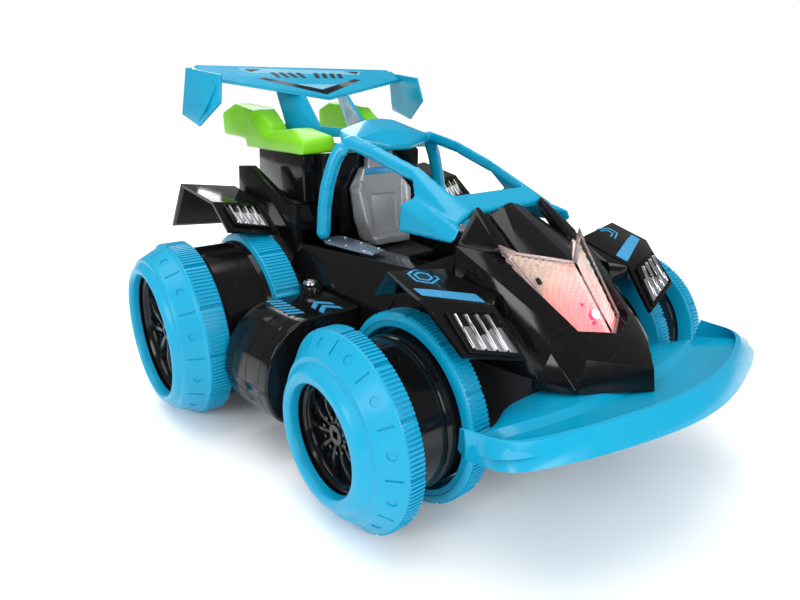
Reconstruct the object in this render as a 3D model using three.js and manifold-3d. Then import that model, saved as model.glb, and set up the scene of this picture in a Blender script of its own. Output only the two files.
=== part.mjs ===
// Remote control stunt car, toy size. Millimetres, +X to the front, +Y to the car's left, +Z up.
// The ground is z = 0. The right side is built first and the left side is its mirror image.
import * as THREE from "three";
import { ConvexGeometry } from "three/addons/geometries/ConvexGeometry.js";
import { mergeVertices } from "three/addons/utils/BufferGeometryUtils.js";
import Module from "manifold-3d";

const wasm = await Module();
wasm.setup();

// ---- driving dimensions ------------------------------------------------------------------------
const GAP = 0.3;
const WALL = 2;

const FRONT = {
  name: "front", x: 57.5, radius: 42, ringIn: 60, ringOut: 70, ringHole: 35.4, drumRadius: 33,
  tyreIn: 92.3, shoulder: 100, face: 112.7, rimHole: 22.7, spokes: 8,
};
const REAR = {
  name: "rear", x: -79, radius: 46.9, ringIn: 63.5, ringOut: 79.5, ringHole: 45, drumRadius: 43,
  tyreIn: 106.9, shoulder: 118.9, face: 133.5, rimHole: 32.5, spokes: 8,
};
const TYRE_STEPS = 36;
const DRUM_STEPS = 28;
const AXLE_RADIUS = 2;
const TAIL_TIP = -169;
const NOSE_TIP = 152;

const TRAY_BOTTOM = 14;
const TRAY_TOP = 60;
const TRAY_HALF = 52;
const TRAY_TAIL = -112;
const TRAY_NOSE = 96;

const DECK = 87;
const SILL = 91;
const POD_REAR = -30.5;
const POD_FRONT = 6;
const COCKPIT = { rear: -50, front: 36, half: 27, floor: 68 };
const ENGINE = { front: -69, rear: -132, half: 42, top: 135.6 };
const BATTERY = { x: 4, y: 0, length: 62, width: 40, height: 18 };

const PINION_TEETH = 8;
const COMPOUND_TEETH = 24;
const COMPOUND_SMALL_TEETH = 10;
const AXLE_TEETH = 28;
const GEAR_MODULE = 1;

const BLUE = 0x22aee6;
const BLACK = 0x0d0d10;
const GREEN = 0x5fd321;
const SILVER = 0x9aa0a8;

// ---- solids ------------------------------------------------------------------------------------
function manifold(geometry) {
  let plain = geometry.clone();
  plain.deleteAttribute("normal");
  plain.deleteAttribute("uv");
  plain = mergeVertices(plain, 1e-4);
  const points = plain.attributes.position;
  const faces = Array.from(plain.index.array);
  const kept = [];
  for (let i = 0; i < faces.length; i += 3) {
    const [a, b, c] = [faces[i], faces[i + 1], faces[i + 2]];
    if (a !== b && b !== c && c !== a) {
      kept.push(a, b, c);
    }
  }
  if (signedVolume(points, kept) < 0) {
    for (let i = 0; i < kept.length; i += 3) {
      [kept[i], kept[i + 1]] = [kept[i + 1], kept[i]];
    }
  }
  return new wasm.Manifold(new wasm.Mesh({
    numProp: 3,
    vertProperties: Float32Array.from(points.array),
    triVerts: Uint32Array.from(kept),
  }));
}

function signedVolume(points, faces) {
  const a = new THREE.Vector3();
  const b = new THREE.Vector3();
  const c = new THREE.Vector3();
  let volume = 0;
  for (let i = 0; i < faces.length; i += 3) {
    a.fromBufferAttribute(points, faces[i]);
    b.fromBufferAttribute(points, faces[i + 1]);
    c.fromBufferAttribute(points, faces[i + 2]);
    volume += a.dot(b.cross(c)) / 6;
  }
  return volume;
}

function geometryOf(solid) {
  const mesh = solid.getMesh();
  const geometry = new THREE.BufferGeometry();
  geometry.setAttribute("position", new THREE.BufferAttribute(Float32Array.from(mesh.vertProperties), 3));
  geometry.setIndex(Array.from(mesh.triVerts));
  geometry.computeVertexNormals();
  return geometry;
}

function join(...solids) {
  return solids.reduce((sum, next) => sum.add(next));
}

function cut(solid, ...tools) {
  return tools.reduce((rest, tool) => rest.subtract(tool), solid);
}

function hull(...points) {
  return manifold(new ConvexGeometry(points.map((p) => new THREE.Vector3(...p))));
}

function box(x0, x1, y0, y1, z0, z1) {
  const geometry = new THREE.BoxGeometry(x1 - x0, y1 - y0, z1 - z0);
  geometry.translate((x0 + x1) / 2, (y0 + y1) / 2, (z0 + z1) / 2);
  return manifold(geometry);
}

function extrude(outline, depth) {
  const shape = new THREE.Shape(outline.map((p) => new THREE.Vector2(...p)));
  return new THREE.ExtrudeGeometry(shape, { depth, bevelEnabled: false });
}

// An outline of [x, z] points, extruded along Y.
function slabY(outline, y0, y1) {
  const geometry = extrude(outline, y1 - y0);
  geometry.rotateX(Math.PI / 2);
  geometry.translate(0, y1, 0);
  return manifold(geometry);
}

// An outline of [x, y] points, extruded along Z.
function slabZ(outline, z0, z1) {
  const geometry = extrude(outline, z1 - z0);
  geometry.translate(0, 0, z0);
  return manifold(geometry);
}

// A profile of [radius, y] points turned about the wheel axis, with a flat facet at the bottom.
function turned(profile, steps, x, z) {
  const grow = 1 / Math.cos(Math.PI / steps);
  const points = profile.map(([r, y]) => new THREE.Vector2(r * grow, y));
  points.push(points[0].clone());
  const geometry = new THREE.LatheGeometry(points, steps);
  geometry.rotateY(Math.PI / steps);
  geometry.translate(x, 0, z);
  return manifold(geometry);
}

function rodY(radius, y0, y1, x, z, steps = 16) {
  const geometry = new THREE.CylinderGeometry(radius, radius, y1 - y0, steps);
  geometry.translate(x, (y0 + y1) / 2, z);
  return manifold(geometry);
}

function rodZ(radius, x, y, z0, z1, steps = 16) {
  const geometry = new THREE.CylinderGeometry(radius, radius, z1 - z0, steps);
  geometry.rotateX(Math.PI / 2);
  geometry.translate(x, y, (z0 + z1) / 2);
  return manifold(geometry);
}

// A round bar through a few points.
function bar(points, radius, sides = 8) {
  const curve = new THREE.CatmullRomCurve3(points.map((p) => new THREE.Vector3(...p)));
  const ring = [];
  for (let i = 0; i < sides; i += 1) {
    const angle = (2 * Math.PI * i) / sides;
    ring.push(new THREE.Vector2(radius * Math.cos(angle), radius * Math.sin(angle)));
  }
  const geometry = new THREE.ExtrudeGeometry(new THREE.Shape(ring), { steps: 8, extrudePath: curve });
  return manifold(geometry);
}

// Rings of points joined one to the next, with a cap on each end. The second half mirrors the first.
function loft(rings) {
  const count = rings[0].length;
  const last = (rings.length - 1) * count;
  const faces = [];
  for (let start = 0; start < last; start += count) {
    for (let k = 0; k < count; k += 1) {
      const [a, b] = [start + k, start + ((k + 1) % count)];
      if (start < last / 2) {
        faces.push(a, b, b + count, a, b + count, a + count);
      } else {
        faces.push(a, b, a + count, b, b + count, a + count);
      }
    }
  }
  for (let k = 1; k + 1 < count; k += 1) {
    faces.push(0, k + 1, k, last, last + k, last + k + 1);
  }
  const geometry = new THREE.BufferGeometry();
  geometry.setAttribute("position", new THREE.Float32BufferAttribute(rings.flat(2), 3));
  geometry.setIndex(faces);
  return manifold(geometry);
}

// A flat panel between its corner points, given a thickness along a direction.
function panel(corners, offset) {
  const back = corners.map((p) => p.map((value, i) => value + offset[i]));
  return hull(...corners, ...back);
}

function mirrored(solid) {
  return solid.mirror([0, 1, 0]);
}

const both = (p) => [p, [p[0], -p[1], p[2]]];

// Half an outline of [x, y] points, closed with its mirror image.
function outlineBoth(edge, offAxis = false) {
  const half = offAxis ? edge : edge.slice(0, -1);
  const other = [...half].reverse().map(([x, y]) => [x, -y]);
  return [...edge, ...other];
}

// ---- the assembly ------------------------------------------------------------------------------
const car = new THREE.Group();

function add(name, solid, color, roughness = 0.4, metalness = 0) {
  const material = new THREE.MeshStandardMaterial({ color, roughness, metalness });
  const mesh = new THREE.Mesh(geometryOf(solid), material);
  mesh.name = name;
  car.add(mesh);
}

function addPair(name, right, color, roughness, metalness) {
  add(`${name}_right`, right, color, roughness, metalness);
  add(`${name}_left`, mirrored(right), color, roughness, metalness);
}

// ---- wheels: a blue inner ring and a black sleeve, and a blue tyre and hub that slide over them ---
function innerRing(w) {
  const r = w.radius;
  const web = w.drumRadius + GAP;
  return turned([
    [web, -w.ringIn], [r, -w.ringIn], [r, -w.ringOut], [w.ringHole, -w.ringOut],
    [w.ringHole, -w.ringIn - WALL], [web, -w.ringIn - WALL],
  ], TYRE_STEPS, w.x, r);
}

function sleeve(w, bore) {
  const outer = w.drumRadius;
  const end = w.tyreIn + 0.5;
  return turned([
    [bore, -w.ringIn], [outer, -w.ringIn], [outer, -end], [outer - WALL, -end],
    [outer - WALL, -w.ringIn - WALL], [6, -w.ringIn - WALL], [6, -w.ringIn - 6], [bore, -w.ringIn - 6],
  ], DRUM_STEPS, w.x, w.radius);
}

function tyre(w) {
  const r = w.radius;
  const bead = w.drumRadius + 2;
  const lip = w.rimHole;
  const groove = lip + (r - lip) * 0.44;
  return turned([
    [bead, -w.tyreIn], [r, -w.tyreIn], [r, -w.shoulder], [groove + 1.5, -w.face + 5],
    [groove, -w.face + 4.6], [groove - 2.4, -w.face + 0.8], [lip + 1.6, -w.face],
    [lip, -w.face + 1.6], [lip, -w.face + 5], [bead, -w.face + 7],
  ], TYRE_STEPS, w.x, r);
}

function hub(w) {
  const rim = w.drumRadius - WALL - 0.6;
  const front = w.face - 7;
  const skirt = w.tyreIn - 4;
  const cup = turned([
    [AXLE_RADIUS + 0.35, -front + 4], [rim - 2, -front + 4], [rim - 2, -skirt], [rim, -skirt],
    [rim, -front], [rim - 3, -front], [rim - 4, -front + 2], [9, -front + 2], [7, -front],
    [AXLE_RADIUS + 0.35, -front],
  ], DRUM_STEPS, w.x, w.radius);
  let solid = cup;
  for (let i = 0; i < w.spokes; i += 1) {
    const geometry = new THREE.BoxGeometry(rim - 10, 2.5, 2.2);
    geometry.translate((rim - 10) / 2 + 8, 0, 0);
    geometry.rotateY((2 * Math.PI * i) / w.spokes);
    geometry.translate(w.x, -front + 0.75, w.radius);
    solid = solid.add(manifold(geometry));
  }
  return solid;
}

function addWheel(w, bore) {
  addPair(`${w.name}_inner_ring`, innerRing(w), BLUE, 0.45);
  addPair(`${w.name}_sleeve`, sleeve(w, bore), BLACK, 0.2);
  addPair(`${w.name}_tyre`, tyre(w), BLUE, 0.45);
  addPair(`${w.name}_hub`, hub(w), BLACK, 0.2);
}

// ---- chassis: an open tray with a battery door in its floor ------------------------------------
const TRAY_SIDE = [
  [TRAY_TAIL, TRAY_TOP], [TRAY_TAIL, 26], [TRAY_TAIL + 12, TRAY_BOTTOM], [46, TRAY_BOTTOM],
  [TRAY_NOSE, 40], [TRAY_NOSE, TRAY_TOP],
];
const TRAY_CORE = [
  [TRAY_TAIL + WALL, TRAY_TOP + 1], [TRAY_TAIL + WALL, 27], [TRAY_TAIL + 13, TRAY_BOTTOM + WALL],
  [45.5, TRAY_BOTTOM + WALL], [TRAY_NOSE - WALL, 41.5], [TRAY_NOSE - WALL, TRAY_TOP + 1],
];

// The tray seen from above: straight sides that close in towards the nose.
function trayPlan(inset) {
  const side = [[TRAY_TAIL - 1, -TRAY_HALF + inset], [24, -TRAY_HALF + inset],
    [TRAY_NOSE + 1, -35 + inset]];
  return outlineBoth(side, true);
}

function chassisTray() {
  const core = TRAY_HALF - WALL;
  const b = BATTERY;
  const outer = slabY(TRAY_SIDE, -TRAY_HALF, TRAY_HALF).intersect(slabZ(trayPlan(0), 0, 100));
  const inner = slabY(TRAY_CORE, -core, core).intersect(slabZ(trayPlan(WALL), 0, 100));
  const shell = cut(outer, inner);
  const opening = box(b.x - 35, b.x + 35, -24, 24, TRAY_BOTTOM - 1, TRAY_BOTTOM + WALL + 1);
  const slot = box(-62, -52, -2, 2, TRAY_BOTTOM - 1, TRAY_BOTTOM + WALL + 1);
  const rearBore = rodY(4.3, -60, 60, REAR.x, REAR.radius);
  const frontBore = rodY(AXLE_RADIUS + GAP, -60, 60, FRONT.x, FRONT.radius);
  return cut(shell, opening, slot, rearBore, frontBore);
}

function addChassis() {
  const b = BATTERY;
  add("chassis_tray", chassisTray(), BLACK, 0.35);
  const door = box(b.x - 34.7, b.x + 34.7, -23.7, 23.7, TRAY_BOTTOM, TRAY_BOTTOM + WALL);
  add("battery_door", cut(door, rodZ(2.3, b.x + 30, 0, 10, 20)), BLACK, 0.4);
  const shank = rodZ(1.2, b.x + 30, 0, TRAY_BOTTOM + 1, TRAY_BOTTOM + 6, 12);
  const head = rodZ(2, b.x + 30, 0, TRAY_BOTTOM + 0.4, TRAY_BOTTOM + 1.6, 12);
  add("battery_door_screw", join(head, shank), SILVER, 0.3, 1);
  const half = b.length / 2;
  add("battery_pack", box(b.x - half - 2, b.x + half - 8, -20, 20, 17, 17 + b.height), 0x2f6f46, 0.5);
  add("circuit_board", box(b.x - 25, b.x + 30, -22, 22, 44, 45.6), 0x1d6b35, 0.5);
  const knob = join(box(-61.6, -57.6, -1.6, 1.6, 12.6, 17), box(-63.6, -55.6, -3, 3, 16.4, 18.4));
  add("power_switch_knob", knob, 0x202024, 0.6);
}

// ---- drive: each rear wheel has its own motor, pinion, compound gear and axle gear -------------
function gear(teeth, y0, y1, x, z, bore, phase = 0) {
  const pitch = (teeth * GEAR_MODULE) / 2;
  const tip = pitch + 0.7;
  const root = pitch - 0.95;
  const outline = [];
  for (let i = 0; i < teeth; i += 1) {
    const step = (2 * Math.PI) / teeth;
    const at = step * i + phase * step;
    outline.push([root, at - 0.3 * step], [tip, at - 0.12 * step], [tip, at + 0.12 * step]);
    outline.push([root, at + 0.3 * step]);
  }
  const points = outline.map(([r, a]) => [x + r * Math.cos(a), z + r * Math.sin(a)]);
  return cut(slabY(points, y0, y1), rodY(bore, y0 - 1, y1 + 1, x, z, 12));
}

const COMPOUND_X = REAR.x + ((AXLE_TEETH + COMPOUND_SMALL_TEETH) * GEAR_MODULE) / 2;
const COMPOUND_Z = REAR.radius;
const MOTOR_X = COMPOUND_X + ((COMPOUND_TEETH + PINION_TEETH) * GEAR_MODULE) / 2;

function addDrive() {
  const axle = rodY(AXLE_RADIUS, -99, -28, REAR.x, REAR.radius, 12);
  addPair("rear_axle", axle, SILVER, 0.3, 1);
  const bush = turned([
    [AXLE_RADIUS + 0.4, -TRAY_HALF - 1.5], [6, -TRAY_HALF - 1.5], [6, -TRAY_HALF - GAP],
    [3.8, -TRAY_HALF - GAP], [3.8, -TRAY_HALF + WALL], [AXLE_RADIUS + 0.4, -TRAY_HALF + WALL],
  ], 16, REAR.x, REAR.radius);
  addPair("rear_bush", bush, 0xc9a24a, 0.35, 1);
  addPair("axle_gear", gear(AXLE_TEETH, -37, -33, REAR.x, REAR.radius, AXLE_RADIUS + GAP), 0xe8e6dc, 0.5);
  const big = gear(COMPOUND_TEETH, -43, -40, COMPOUND_X, COMPOUND_Z, 1.3);
  const small = gear(COMPOUND_SMALL_TEETH, -40, -32.6, COMPOUND_X, COMPOUND_Z, 1.3, 0.5);
  addPair("compound_gear", join(big, small), 0xe8e6dc, 0.5);
  const pinion = gear(PINION_TEETH, -43.5, -39.5, MOTOR_X, COMPOUND_Z, 0.9, 0.5);
  addPair("motor_pinion", pinion, 0xc9a24a, 0.35, 1);
  const can = rodY(10, -36, -8, MOTOR_X, COMPOUND_Z, 20);
  const shaft = rodY(0.6, -44, -35, MOTOR_X, COMPOUND_Z, 8);
  addPair("drive_motor", join(can, rodY(3, -38, -35, MOTOR_X, COMPOUND_Z, 12), shaft), SILVER, 0.35, 1);
  const front = rodY(AXLE_RADIUS, -82, 82, FRONT.x, FRONT.radius, 12);
  add("front_axle", front, SILVER, 0.3, 1);
}

// ---- body tub: sills, cockpit well and rear quarters -------------------------------------------
function bodyTub() {
  const base = TRAY_TOP + GAP;
  const mid = hull(
    ...both([-67, -56, base]), ...both([24, -56, base]), ...both([-67, -56, 72]), ...both([24, -54, 72]),
    ...both([-67, -48, DECK]), ...both([30, -42, DECK + 5]),
  );
  const rear = hull(
    ...both([-112, -50, base]), ...both([-64, -50, base]), ...both([-124, -58, 96]),
    ...both([-66, -52, DECK + 12]),
    ...both([-124, -50, 108]), ...both([-68, -48, 108]),
  );
  const quarter = hull(
    [-124, -58, 96], [-68, -54, 96], [-124, -56, 126], [-110, -55, 127], [-68, -50, 106],
    [-124, -54, 96], [-68, -50, 96], [-124, -52, 126], [-110, -51, 127], [-68, -46, 106],
  );
  const front = hull(
    ...both([22, -53, base]), ...both([52, -44, base]), ...both([28, -42, DECK + 5]),
    ...both([52, -37, DECK + 16]),
    ...both([22, -53, 72]), ...both([52, -44, 80]),
  );
  const c = COCKPIT;
  const well = box(c.rear, c.front, -c.half, c.half, c.floor, 140);
  const seatWell = box(-69, c.rear + 1, -c.half - 8, c.half + 8, 99.7, 140);
  const under = join(
    box(-104, c.rear - 4, -46, 46, base - 1, 94),
    box(c.rear - 6, 44, -46, 46, base - 1, c.floor - WALL),
  );
  return cut(join(mid, rear, quarter, mirrored(quarter), front), well, seatWell, under);
}

// A barrel-sided pod with a flat deck, standing between the front and the rear wheel.
function sidePod() {
  const section = (x, out) => [
    [x, -57, 70.5], [x, -94 - out, 70.4], [x, -106 - out, 60], [x, -111.5 - out, 47],
    [x, -111.5 - out, 33], [x, -104 - out, 19.5], [x, -57, 17],
  ];
  const outer = hull(...section(POD_REAR, 2.5), ...section(POD_FRONT, -1.5));
  const inner = hull(
    [POD_REAR + WALL, -57 + 1, 68], [POD_FRONT - 4, -57 + 1, 68], [POD_REAR + WALL, -92, 68],
    [POD_FRONT - 4, -90, 68],
    [POD_REAR + WALL, -108, 46], [POD_FRONT - 4, -106, 46], [POD_REAR + WALL, -104, 22],
    [POD_FRONT - 4, -100, 22],
    [POD_REAR + WALL, -57 + 1, 20], [POD_FRONT - 4, -57 + 1, 20],
  );
  return cut(outer, inner);
}

function sillPlate() {
  const corners = [[-50, -43], [-48.5, -30.5], [-30, -30], [-6, -31.5], [-4, -41], [-20, -44],
    [-40, -46.5]];
  return slabZ(corners, SILL, SILL + 1.2);
}

// ---- nose --------------------------------------------------------------------------------------
const HORN = [67.6, -26.4, 105.8];
const LENS_NOTCH = [85.3, 0, 100.4];
const LENS_CORNER = [98.7, -17, 75.5];
const LENS_FOOT = [108, 0, 73.5];
const PROW = [[127.5, 0, 66], [129, 0, 57], [111, -21.5, 70], [112, -25, 60], [112, -26, 57]];

function shifted(p, d) {
  return p.map((value, i) => value + d[i]);
}

function lensHalf(depth, inset, thickness) {
  const into = [-0.8 * depth, 0, -0.6 * depth];
  const ring = [
    shifted(HORN, [2 * inset, inset, -inset]), shifted(LENS_CORNER, [-inset * 0.5, inset, inset]),
    shifted(LENS_FOOT, [-inset * 0.5, 0, inset]), shifted(LENS_NOTCH, [inset * 0.5, 0, -inset * 0.5]),
  ].map((p) => shifted(p, into));
  const back = ring.map((p) => shifted(p, [-0.8 * thickness, 0, -0.6 * thickness]));
  return hull(...ring, ...back);
}

function noseShell() {
  const base = TRAY_TOP + GAP;
  const body = hull(
    ...both([53, -38.3, 107]), ...both([75.6, -33.6, 94.7]), ...both([90.9, -28.2, 82]),
    ...both([106.2, -22.9, 74]),
    ...PROW.flatMap(both), ...both([98, -34, 56]), ...both([98, -34, 63]), ...both([112, -6, 75.5]),
    ...both([53, -38, base]), ...both([85, -37, base]), ...both([67.6, -24, 104]), LENS_FOOT,
  );
  const hood = hull(
    [47.5, 0, 120.3], ...both([69.7, -18.9, 103.8]), LENS_NOTCH, [47.5, 0, 117], ...both([68, -18.9, 100]),
  );
  const fin = hull(
    [48.3, -21.2, 121], [53, -37, 108], HORN, [69.7, -18.9, 103.8], [50, -20.5, 117], [56, -35, 104],
    [66, -20, 99],
  );
  const lampBed = join(lensHalf(-9, -0.3, 14), mirrored(lensHalf(-9, -0.3, 14)));
  const under = join(
    box(40, TRAY_NOSE + GAP, -60, 60, 30, base), box(50, 84, -30, 30, base - 1, 84), box(52.6, 60, -33, 33,
      60, 94),
  );
  const rearFace = box(30, 52.6, -60, 60, 40, 108);
  return cut(join(cut(body, rearFace), hood, fin, mirrored(fin)), lampBed, under);
}

// ---- fenders -----------------------------------------------------------------------------------
function frontFender() {
  const t = [0, 0, -1.8];
  const top = panel([[54.3, -75.3, 102.8], [74.7, -75.7, 96.9], [83.9, -46, 90.6], [56, -46, 99]], t);
  const face = panel([[74.7, -75.7, 96.9], [83.9, -46, 90.6], [100, -43.5, 72], [94, -71, 79]],
    [-1.6, 0, -1]);
  const tail = panel([[54.3, -75.3, 102.8], [56, -46, 99], [46, -46, 88], [43, -75, 91]], [1.6, 0, -0.6]);
  const root = hull([56, -46.5, 98], [84, -46.5, 90], [56, -40, 94], [78, -38.6, 92], [56, -46.5, 88],
    [84, -46.5, 82],
    [60, -40, 84], [80, -39, 84]);
  return join(top, face, tail, root);
}

function frontGrille() {
  return panel([[81.6, -70, 92.9], [86.4, -49, 89.2], [99.2, -46, 74], [94.4, -69, 80.4]], [1.0, 0, 1.0]);
}

function rearFender() {
  const top = panel([[-123, -93, 118.3], [-84.3, -90, 112.7], [-86, -60, 108], [-123, -60, 114]],
    [0, 0, -1.8]);
  const face = panel([[-84.3, -90, 112.7], [-86, -60, 108], [-66, -60, 93.8], [-66, -90, 99.5]],
    [-1.4, 0, -1.2]);
  const tail = panel([[-123, -93, 118.3], [-123, -60, 114], [-146, -60, 88], [-149, -93, 90]],
    [1.6, 0, -0.8]);
  return join(top, face, tail);
}

function rearGrille() {
  return panel([[-80.3, -86, 111.1], [-81.7, -65, 107.5], [-68.4, -64, 97.2], [-68.1, -85, 101.9]],
    [1.0, 0, 1.0]);
}

// ---- bumper: a shallow scoop that rises to the middle, with a raised front rim -----------------
const BUMPER = {
  low: [[107, -82.4, 48], [131, -81, 55.5], [146, -41, 57], [NOSE_TIP, 0, 57.5]],
  high: [[107.5, -83.3, 60.5], [127, -74.5, 62], [141.5, -37, 65], [146.6, 0, 66]],
  root: [[102, -62, 48], [97, -50, 50], [96.4, -34, 50.5], [96.4, 0, 50.5]],
};

function wholeEdge(edge) {
  const other = edge.slice(0, -1).reverse().map(([x, y, z]) => [x, -y, z]);
  return [...edge, ...other];
}

function bumper() {
  const low = wholeEdge(BUMPER.low);
  const high = wholeEdge(BUMPER.high);
  const root = wholeEdge(BUMPER.root);
  const rings = low.map((foot, i) => [
    foot, high[i], shifted(high[i], [-2, 0, 0]), shifted(foot, [-1.6, 0, WALL]),
    shifted(root[i], [0, 0, WALL]), root[i],
  ]);
  const last = rings.length - 1;
  return loft([
    closedEnd(rings[0]), between(rings[0], rings[1]), ...rings.slice(1, last),
    between(rings[last], rings[last - 1]), closedEnd(rings[last]),
  ]);
}

// The end flange fills the corner between the wall and the floor.
function closedEnd(ring) {
  return ring.with(3, ring[2].map((value, axis) => (value + ring[4][axis]) / 2));
}

function between(ring, next) {
  return ring.map((p, i) => p.map((value, axis) => value + 0.06 * (next[i][axis] - value)));
}

// ---- cockpit, engine and cage ------------------------------------------------------------------
function seat() {
  const back = hull(...both([-57, -12, 134]), ...both([-52, -12, 134]), ...both([-56, -19.5, 112]),
    ...both([-51, -19.5, 112]),
    ...both([-52, -16, 90]), ...both([-45, -16, 90]));
  const base = hull(...both([-50, -17, 90]), ...both([-45, -17, 91]), ...both([-20, -17, 86]),
    ...both([-20, -16, 80]),
    ...both([-50, -16, 82]));
  return join(back, base);
}

function seatFrame() {
  return join(
    box(-68.7, -58.5, -34, 34, 100, 136), box(-62, -58.5, -24, 24, 90, 110),
  );
}

function engineCover() {
  const e = ENGINE;
  return cut(
    hull(...both([e.front, -e.half, 108.4]), ...both([e.front, -e.half, e.top]),
      ...both([e.rear, -e.half + 4, e.top]),
      ...both([e.rear, -e.half + 2, 108.4])),
    box(e.rear + 4, e.front - 3, -e.half + 5, e.half - 5, 100, e.top - 3),
  );
}

function exhaustPod() {
  const [out, mid, inner] = [-45, -40, -29];
  const low = hull([-63, out, 136], [-136, out, 136], [-60, -24, 137], [-136, inner, 136], [-62, out, 143],
    [-60, -26, 145], [-82, mid, 149], [-82, -27, 149], [-136, out, 141], [-136, inner, 141]);
  const horn = hull([-104, out, 142], [-104, inner, 142], [-104, mid, 152], [-104, inner, 152],
    [-140, out, 141],
    [-140, inner, 141], [-122, mid, 160], [-122, inner, 160], [TAIL_TIP, out, 141], [TAIL_TIP, inner, 141],
    [TAIL_TIP, out, 157], [TAIL_TIP, inner, 157], [-150, mid, 162], [-150, inner, 162]);
  return join(low, horn);
}

// The cage is moulded in one piece: roof, screen posts, side lobes and the two hoops down to the sills.
function rollCage() {
  const roof = hull(
    ...both([-46, -31, 143]), ...both([-46, -20, 147]), [-57, 0, 155], [-34, 0, 139],
    ...both([-60, -24, 149]),
    ...both([-46, -31, 140]), [-57, 0, 152], [-36, 0, 137], ...both([-60, -24, 146]),
    ...both([-40, -26, 146]),
    ...both([-40, -26, 142]),
  );
  const post = hull([-46, -32, 145], [-42, -25, 149], [-46, -32, 140], [10, -29, 131], [8, -24, 137],
    [8, -29, 125],
    [-44, -25, 143], [8, -24, 130]);
  const cowl = hull([4, -28, 134], [10, -24, 136], [48, -24, 119.5], [46, -31, 116], [4, -28, 130],
    [10, -22, 132],
    [47, -23, 116], [45, -30, 113]);
  const lobe = hull([6, -27, 133], [45, -31, 117], [53, -41, 109.5], [12, -37.5, 106.5], [9, -34.5, 116],
    [6, -25, 131],
    [45, -29, 114], [53, -39, 108], [12, -35.5, 105.5]);
  const hoop = bar([[-44, -31, 142], [-47, -38, 128], [-47, -42, 110], [-45.5, -44.5, SILL + 2.6]], 3.4);
  const bridge = hull(...both([34, -24, 125]), ...both([47.4, -24, 119.5]),
    ...both([34, -24, 121.5]), ...both([46.4, -24, 116.5]));
  const right = join(post, cowl, lobe, hoop);
  return join(roof, right, mirrored(right), bridge);
}

function rearWing() {
  const plate = hull(
    ...both([-139.6, -74.3, 182]), ...both([-139.6, -70, 184]), [-106, 0, 166], ...both([-128, -74, 178]),
    ...both([-139.6, -74.3, 180]), [-106, 0, 164], ...both([-128, -74, 176]), [-137, 0, 176],
    [-137, 0, 174],
  );
  const end = hull([-139.6, -74.3, 183], [-106, -73, 172], [-112, -78, 160], [-124, -79.2, 151],
    [-143, -79, 160],
    [-139.6, -72.5, 183], [-106, -71.2, 172], [-112, -76.2, 160], [-124, -77.4, 151], [-143, -77.2, 160]);
  const strut = hull([-136, -23, 176], [-112, -17, 169], [-136, -20.5, 176], [-112, -14.5, 169],
    [-119, -24, 147],
    [-88, -18, 146], [-119, -21.5, 147], [-88, -15.5, 146]);
  const brace = hull([-122, -24, 150], [-88, -18, 148], [-122, -21.5, 150], [-88, -15.5, 148],
    [-60.5, -20, 149.5],
    [-60.5, -14, 149.5], [-60.5, -20, 145], [-60.5, -14, 145], [-119, -24, 144], [-88, -18, 143]);
  return join(plate, end, mirrored(end), strut, mirrored(strut), brace, mirrored(brace));
}

// ---- put the car together ----------------------------------------------------------------------
addWheel(FRONT, AXLE_RADIUS + 0.35);
addWheel(REAR, AXLE_RADIUS + 0.35);
addChassis();
addDrive();
add("body_tub", bodyTub(), BLACK, 0.25);
addPair("side_pod", sidePod(), BLACK, 0.2);
addPair("sill_plate", sillPlate(), 0x9fb2c4, 0.3, 0.8);
add("nose_shell", noseShell(), BLACK, 0.25);
add("nose_lens", join(lensHalf(0, 0, 1.6), mirrored(lensHalf(0, 0, 1.6))), 0xf0e0e2, 0.1);
add("lamp_reflector", join(lensHalf(3, 1.5, 1.6), mirrored(lensHalf(3, 1.5, 1.6))), 0xd8d0c4, 0.3);
add("front_bumper", bumper(), BLUE, 0.3);
addPair("front_fender", frontFender(), BLACK, 0.25);
addPair("front_grille", frontGrille(), SILVER, 0.15, 1);
addPair("rear_fender", rearFender(), BLACK, 0.25);
addPair("rear_grille", rearGrille(), SILVER, 0.15, 1);
add("seat", seat(), SILVER, 0.35, 0.5);
add("seat_frame", seatFrame(), BLACK, 0.35);
add("engine_cover", engineCover(), BLACK, 0.3);
addPair("exhaust_pod", exhaustPod(), GREEN, 0.35);
add("roll_cage", rollCage(), BLUE, 0.35);
add("rear_wing", rearWing(), BLUE, 0.35);

// The origin sits under the middle of the car's length.
car.position.x = -(NOSE_TIP + TAIL_TIP) / 2;

export default car;
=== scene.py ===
from math import atan2, cos, hypot, pi, radians, sin

import bmesh
import bpy
from mathutils import Matrix, Vector


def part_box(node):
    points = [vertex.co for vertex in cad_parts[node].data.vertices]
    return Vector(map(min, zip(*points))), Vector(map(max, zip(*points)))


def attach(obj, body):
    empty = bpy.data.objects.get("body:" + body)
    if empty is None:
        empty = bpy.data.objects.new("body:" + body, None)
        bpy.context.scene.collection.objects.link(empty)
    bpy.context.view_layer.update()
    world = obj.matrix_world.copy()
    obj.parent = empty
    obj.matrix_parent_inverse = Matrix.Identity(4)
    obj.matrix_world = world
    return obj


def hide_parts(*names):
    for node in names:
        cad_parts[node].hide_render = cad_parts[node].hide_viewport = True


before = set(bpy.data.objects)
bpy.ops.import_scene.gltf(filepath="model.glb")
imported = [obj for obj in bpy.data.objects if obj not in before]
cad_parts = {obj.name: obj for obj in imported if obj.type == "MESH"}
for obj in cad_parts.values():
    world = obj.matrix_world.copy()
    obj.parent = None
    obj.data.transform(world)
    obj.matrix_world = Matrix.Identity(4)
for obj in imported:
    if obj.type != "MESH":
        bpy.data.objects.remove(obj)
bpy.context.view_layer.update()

# ---- Inner wheel rings ----
# The blue ring on the car's side of each wheel: a narrow knurled tread round a flat face, moulded
# in cyan plastic and pressed over the root of the black drum, so that it turns with it.
MM = 0.001
SIDES = (("right", -1), ("left", 1))
CYAN = (0.001, 0.30, 0.50, 1)
RIB_STEPS = 288
SECTOR = 24
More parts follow.
